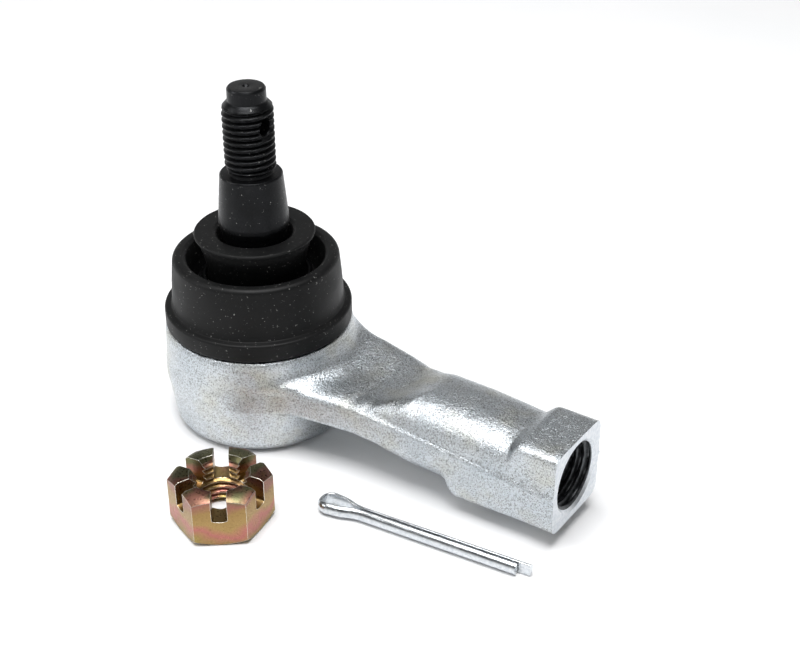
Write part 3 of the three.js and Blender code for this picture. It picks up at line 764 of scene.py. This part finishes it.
def makeStud():
    s = stud
    flat = math.acos(-s["flatDrop"] / s["ballRadius"])
    neck = math.asin(s["neckRadius"] / s["ballRadius"])
    line = [(0, s["ballHeight"] - s["flatDrop"])]
    for angle in np.linspace(flat, neck, 40):
        line.append((s["ballRadius"] * math.sin(angle), s["ballHeight"] + s["ballRadius"] * math.cos(angle)))
    line += roundedProfile(s["shaft"])
    line += [(s["threadRadius"], z) for z in np.arange(s["threadLow"], s["threadHigh"], s["threadStep"])]
    line += roundedProfile(s["point"])

    def wave(r, z, angles):
        if not s["threadLow"] <= z < s["threadHigh"]:
            return np.full(len(angles), r)
        root = s["rootRadius"]
        worn = s["wear"] * np.sin(angles * 3 + z)
        top = root + (s["threadRadius"] - root) * min(1.0, (z - s["threadLow"]) / s["runout"])
        top = min(top, s["threadRadius"] - max(0.0, z - s["threadHigh"] + 0.5) * 0.6)
        return root + (top - root) * np.clip(threadCrest(z, s["pitch"], angles) * 1.05 + worn, 0, 1)

    body = turnedMesh("ball_stud_turned", line, 96, radiusAt=wave, sharpAngle=45)
    outline = [(r, -z, corner) for r, z, corner in s["crossHole"]] + s["crossHole"][::-1]
    hole = turnedMesh("hole cutter", roundedProfile(outline), 40)
    acrossStud = Matrix.Rotation(math.pi / 2, 4, "Y")
    hole.data.transform(Matrix.Translation((0, 0, s["holeHeight"] * mm)) @ acrossStud)
    cutWith(body, [hole])
    shadeSmooth(body.data, 45)
    show(body, oxide, "stud", "ball_stud")
    print("stud made:", len(body.data.polygons), "faces")


makeStud()


boot = {
    # up the outside, over the rim, down into the well, up the collar and back down the bore
    "outline": [(17.0, 21.9, 0), (18.6, 21.9, 0.2), (18.85, 22.3, 0.3), (18.85, 25.55, 0.55),
                (17.5, 25.75, 0.3), (17.28, 26.5, 0.5), (17.0, 31.0, 3.0), (16.5, 36.4, 1.25),
                (14.5, 36.45, 0.5), (13.85, 35.9, 0.5), (13.15, 31.6, 1.5), (12.3, 29.6, 1.0),
                (9.75, 29.5, 1.0), (9.75, 33.6, 2.0), (10.3, 36.6, 3.0), (10.95, 38.9, 2.0),
                (11.15, 40.2, 0.4), (11.8, 40.45, 0.2), (11.97, 41.0, 0.2), (11.7, 41.3, 0.2),
                (8.2, 41.28, 0.5), (7.6, 40.9, 0.4), (6.76, 38.6, 1.0), (6.76, 31.7, 0.8),
                (8.0, 28.5, 1.0), (11.7, 27.2, 1.2), (15.0, 26.6, 0.8), (15.2, 25.4, 0.1),
                (17.0, 25.4, 0.1)],
    "bendFrom": 25.8,
    "bendTo": 36.5,
}
rubber = bootRubber()


def makeBoot():
    line = roundedProfile(boot["outline"], closed=True, arcSteps=8)
    piece = turnedMesh("dust_boot_rubber", line, 144, closed=True)
    piece.data.materials.append(rubber)
    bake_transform(piece)
    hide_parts("dust_boot")
    print("boot made")


makeBoot()


# radii, heights and corner radii; the open outlines start and end on the axis
turnedPieces = {
    "end_cover_plate": {"body": "housing", "material": zincCut, "closed": False,
                        "outline": [(0, 0, 0), (11.7, 0, 0.2), (12.9, 1.1, 0.2), (12.9, 2.2, 0.15),
                                    (0, 2.2, 0)]},
    "preload_spring": {"body": "housing", "material": springSteelAndBoreShade, "closed": True,
                       "outline": [(12.6, 2.5, 0.2), (12.6, 3.5, 0.2), (6.7, 4.3, 0.2), (6.7, 3.3, 0.2)]},
    "boot_base_ring": {"body": "housing", "material": zincCut, "closed": True,
                       "outline": [(16.3, 21.9, 0.1), (16.97, 21.9, 0.1), (16.97, 25.1, 0.1),
                                   (16.3, 25.1, 0.1)]},
}
seats = {"radius": 13.0, "play": 0.3, "low": 4.6, "lowTop": 12.05, "highFoot": 12.35, "lip": 17.3,
         "lipRadius": 9.3, "high": 19.0}
neckRing = {"radius": 10.5, "height": 31.7, "wire": 0.6}
whiteAcetal = acetal()


def ballArc(highZ, lowZ, count=14):
    radius, centre = stud["ballRadius"] + seats["play"], stud["ballHeight"]
    return [(math.sqrt(radius ** 2 - (z - centre) ** 2), z, 0) for z in np.linspace(highZ, lowZ, count)]


def addSeatsAndRing():
    s = seats
    lower = [(s["radius"], s["low"], 0.4), (s["radius"], s["lowTop"], 0.2)] + ballArc(s["lowTop"], s["low"])
    upper = [(s["radius"], s["highFoot"], 0.2), (s["radius"], s["high"], 0.4)]
    upper += [(s["lipRadius"], s["high"], 0.2)] + ballArc(s["lip"], s["highFoot"])
    turns = np.linspace(0, 2 * math.pi, 24, endpoint=False)
    wire = [(neckRing["radius"] + neckRing["wire"] * math.cos(a),
             neckRing["height"] + neckRing["wire"] * math.sin(a), 0) for a in turns]
    for node, body, material, outline in (("lower_seat", "ball_seat", whiteAcetal, lower),
                                          ("upper_seat", "ball_seat", whiteAcetal, upper),
                                          ("boot_neck_ring", "boot_clip", oxide, wire)):
        turnedPieces[node] = {"body": body, "material": material, "closed": True, "outline": outline}


def makeTurnedPieces():
    for node, piece in turnedPieces.items():
        line = roundedProfile(piece["outline"], closed=piece["closed"], arcSteps=4)
        made = turnedMesh(node + "_turned", line, 112, closed=piece["closed"])
        show(made, piece["material"], piece["body"], node)
        print(node, "made")


addSeatsAndRing()
makeTurnedPieces()


nut = {
    "across": 17.0,
    "height": 10.2,
    # the turned shape that trims the six corners, as radius and height
    "dome": [(0, 0), (8.3, 0), (10.1, 1.05), (10.1, 8.85), (7.9, 10.2), (0, 10.2)],
    "slots": 6,
    "slotWidth": 2.9,
    "slotFloor": 5.2,
    "slotCurve": 0.45,
    "slotFrom": 3.3,
    "slotTo": 12.0,
    "minorRadius": 4.4,
    "majorRadius": 5.05,
    "pitch": 1.25,
    "threadStep": 0.12,
    "baseChamfer": {"radius": 5.25, "slope": 1.0},
    "crownChamfer": {"radius": 5.75, "slope": 0.9},
    "place": (17.4, -34.0, 0.0),
    "turn": 38.5,
}
goldZinc = yellowZinc()


def slotTree(material):
    # cuts one slot shape at every flat of the nut, counted and spaced by the tree's inputs
    tree = bpy.data.node_groups.new("slots round a nut", "GeometryNodeTree")
    face = tree.interface
    face.new_socket("Blank", in_out="INPUT", socket_type="NodeSocketGeometry")
    face.new_socket("Slot shape", in_out="INPUT", socket_type="NodeSocketObject")
    face.new_socket("Slot count", in_out="INPUT", socket_type="NodeSocketInt").default_value = nut["slots"]
    face.new_socket("Nut", in_out="OUTPUT", socket_type="NodeSocketGeometry")
    given = addNode(tree, "NodeGroupInput").outputs
    points = addNode(tree, "GeometryNodePoints", {"Count": given["Slot count"]})
    order = addNode(tree, "GeometryNodeInputIndex")
    share = addNode(tree, "ShaderNodeMath", {0: 2 * math.pi, 1: given["Slot count"]}, operation="DIVIDE")
    half = addNode(tree, "ShaderNodeMath", {0: order, 1: 0.5}, operation="ADD")
    angle = addNode(tree, "ShaderNodeMath", {0: share, 1: half}, operation="MULTIPLY")
    turn = addNode(tree, "ShaderNodeCombineXYZ", {"Z": angle})
    shape = addNode(tree, "GeometryNodeObjectInfo", {"Object": given["Slot shape"]}).outputs["Geometry"]
    placed = addNode(tree, "GeometryNodeInstanceOnPoints", {"Points": points, "Instance": shape,
                                                            "Rotation": turn})
    real = addNode(tree, "GeometryNodeRealizeInstances", {"Geometry": placed})
    cut = addNode(tree, "GeometryNodeMeshBoolean", {"Mesh 1": given["Blank"], "Mesh 2": real},
                  operation="DIFFERENCE", solver="EXACT").outputs["Mesh"]
    solid = addNode(tree, "GeometryNodeRealizeInstances", {"Geometry": cut})
    painted = addNode(tree, "GeometryNodeSetMaterial", {"Geometry": solid, "Material": material})
    addNode(tree, "NodeGroupOutput", {"Nut": painted})
    return tree


def hexagonBlank():
    corner = nut["across"] / math.sqrt(3) * mm
    ring = [(corner * math.cos(math.pi / 3 * i), corner * math.sin(math.pi / 3 * i)) for i in range(6)]
    low, high = [[(x, y, z) for x, y in ring] for z in (0.0, nut["height"] * mm)]
    blank = prismMesh("slotted_nut_steel", low, high, 20)
    cutWith(blank, [turnedMesh("dome", nut["dome"], 144)], "INTERSECT")
    return blank


def nutBore():
    n = nut
    top, minor = n["height"], n["minorRadius"]
    heights = [-1.0, *np.arange(-0.2, top + 0.2, n["threadStep"]), top + 1]
    line = [(0, -1.0)] + [(minor, z) for z in heights] + [(0, top + 1)]

    def wave(r, z, angles):
        radii = r + (n["majorRadius"] - r) * threadCrest(z, n["pitch"], angles)
        for end, depth in (("baseChamfer", z), ("crownChamfer", top - z)):
            radii = np.maximum(radii, n[end]["radius"] - max(0.0, depth) * n[end]["slope"])
        return radii

    return turnedMesh("nut bore", line, 72, radiusAt=wave)


def slotCutter():
    # a bar along X with a nearly flat floor, long enough to pass from the bore out of the nut
    n = nut
    half, floor, curve = n["slotWidth"] / 2, n["slotFloor"], n["slotCurve"]
    sweep = np.linspace(-math.pi / 2, math.pi / 2, 15)
    outline = [(half * math.sin(a), floor + curve - curve * math.cos(a)) for a in sweep]
    outline += [(half, n["height"] + 1.5), (-half, n["height"] + 1.5)]
    near, far = [[(x * mm, y * mm, z * mm) for y, z in outline] for x in (n["slotFrom"], n["slotTo"])]
    return prismMesh("slot shape", near, far, 30)


def makeNut():
    n = nut
    blank = hexagonBlank()
    cutWith(blank, [nutBore()])
    slot = slotCutter()
    setInputs(blank, "slots", slotTree(goldZinc), {"Slot shape": slot, "Slot count": n["slots"]})
    applied(blank)
    bpy.data.objects.remove(slot)
    shadeSmooth(blank.data, 35)
    turn = Matrix.Rotation(math.radians(n["turn"]), 4, "Z")
    blank.data.transform(Matrix.Translation(Vector(n["place"]) * mm) @ turn)
    show(blank, goldZinc, "nut", "slotted_nut")
    print("nut made:", len(blank.data.polygons), "faces")


makeNut()


pin = {
    "wireRadius": 1.25,
    "edgeRounding": 0.22,
    "step": 0.3,
    "gap": 0.17,
    # where each leg leaves the gap on its way to the eye: x, and how far past the gap
    "leg": [(30, 0), (18, 0), (12, 0), (9.4, 0.02), (7.4, 0.28), (5.4, 0.91)],
    # the eye's knots, in half turns
    "eyeInner": 1.45,
    "eyeFrom": -0.42,
    "eyeSweep": -1.16,
    "shortLeg": 41.2,
    "longLeg": 43.6,
    "place": (30.4, -21.0),
    "turn": 5.9,
}
wireZinc = brightZinc(pin["turn"])


def wireTree(material):
    # sweeps a half-round wire, flat side in, along the curve it is given
    tree = bpy.data.node_groups.new("half-round wire", "GeometryNodeTree")
    face = tree.interface
    face.new_socket("Path", in_out="INPUT", socket_type="NodeSocketGeometry")
    for name, size in (("Wire radius", "wireRadius"), ("Edge rounding", "edgeRounding"), ("Step", "step")):
        socket = face.new_socket(name, in_out="INPUT", socket_type="NodeSocketFloat")
        socket.default_value = pin[size] * mm
    face.new_socket("Wire", in_out="OUTPUT", socket_type="NodeSocketGeometry")
    given = addNode(tree, "NodeGroupInput").outputs
    even = addNode(tree, "GeometryNodeResampleCurve", {"Curve": given["Path"], "Length": given["Step"]},
                   mode="LENGTH")
    level = addNode(tree, "GeometryNodeSetCurveNormal", {"Curve": even}, mode="Z_UP")
    arc = addNode(tree, "GeometryNodeCurveArc", {"Resolution": 20, "Radius": given["Wire radius"],
                                                 "Start Angle": math.pi / 2, "Sweep Angle": math.pi,
                                                 "Connect Center": True})
    edge = addNode(tree, "GeometryNodeFilletCurve", {"Curve": arc, "Count": 3, "Limit Radius": True,
                                                     "Radius": given["Edge rounding"]}, mode="POLY")
    swept = addNode(tree, "GeometryNodeCurveToMesh", {"Curve": level, "Profile Curve": edge,
                                                      "Fill Caps": True})
    real = addNode(tree, "GeometryNodeRealizeInstances", {"Geometry": swept})
    painted = addNode(tree, "GeometryNodeSetMaterial", {"Geometry": real, "Material": material})
    addNode(tree, "NodeGroupOutput", {"Wire": painted})
    return tree


def pinPath():
    # from the short leg's end, back round the eye and out along the long leg
    p = pin
    leg = [(x, p["gap"] + spread) for x, spread in p["leg"]]
    eye = p["eyeInner"] + p["wireRadius"]
    points = [(p["shortLeg"], -p["gap"])] + [(x, -y) for x, y in leg]
    for i in range(9):
        angle = math.pi * (p["eyeFrom"] + p["eyeSweep"] * i / 8)
        points.append((eye + p["eyeInner"] * math.cos(angle), p["eyeInner"] * math.sin(angle)))
    points += leg[::-1] + [(p["longLeg"], p["gap"])]
    path = bpy.data.curves.new("pin path", "CURVE")
    path.dimensions = "3D"
    spline = path.splines.new("BEZIER")
    spline.bezier_points.add(len(points) - 1)
    turn = Matrix.Rotation(math.radians(p["turn"]), 3, "Z")
    for knot, (x, y) in zip(spline.bezier_points, points):
        knot.co = (turn @ Vector((x, y, 0)) + Vector((*p["place"], p["wireRadius"]))) * mm
        knot.handle_left_type = knot.handle_right_type = "AUTO"
    spline.resolution_u = 24
    guide = bpy.data.objects.new("pin path", path)
    scene.collection.objects.link(guide)
    return guide


def makePin():
    guide = pinPath()
    setInputs(guide, "wire", wireTree(wireZinc), {"Wire radius": pin["wireRadius"] * mm,
                                                  "Edge rounding": pin["edgeRounding"] * mm,
                                                  "Step": pin["step"] * mm})
    data = evaluatedMesh(guide)
    bpy.data.objects.remove(guide)
    data.name = "cotter_pin_wire"
    wire = bpy.data.objects.new("cotter_pin_wire", data)
    scene.collection.objects.link(wire)
    shadeSmooth(data, 50)
    show(wire, wireZinc, "pin", "cotter_pin")
    print("pin made:", len(data.polygons), "faces")


makePin()
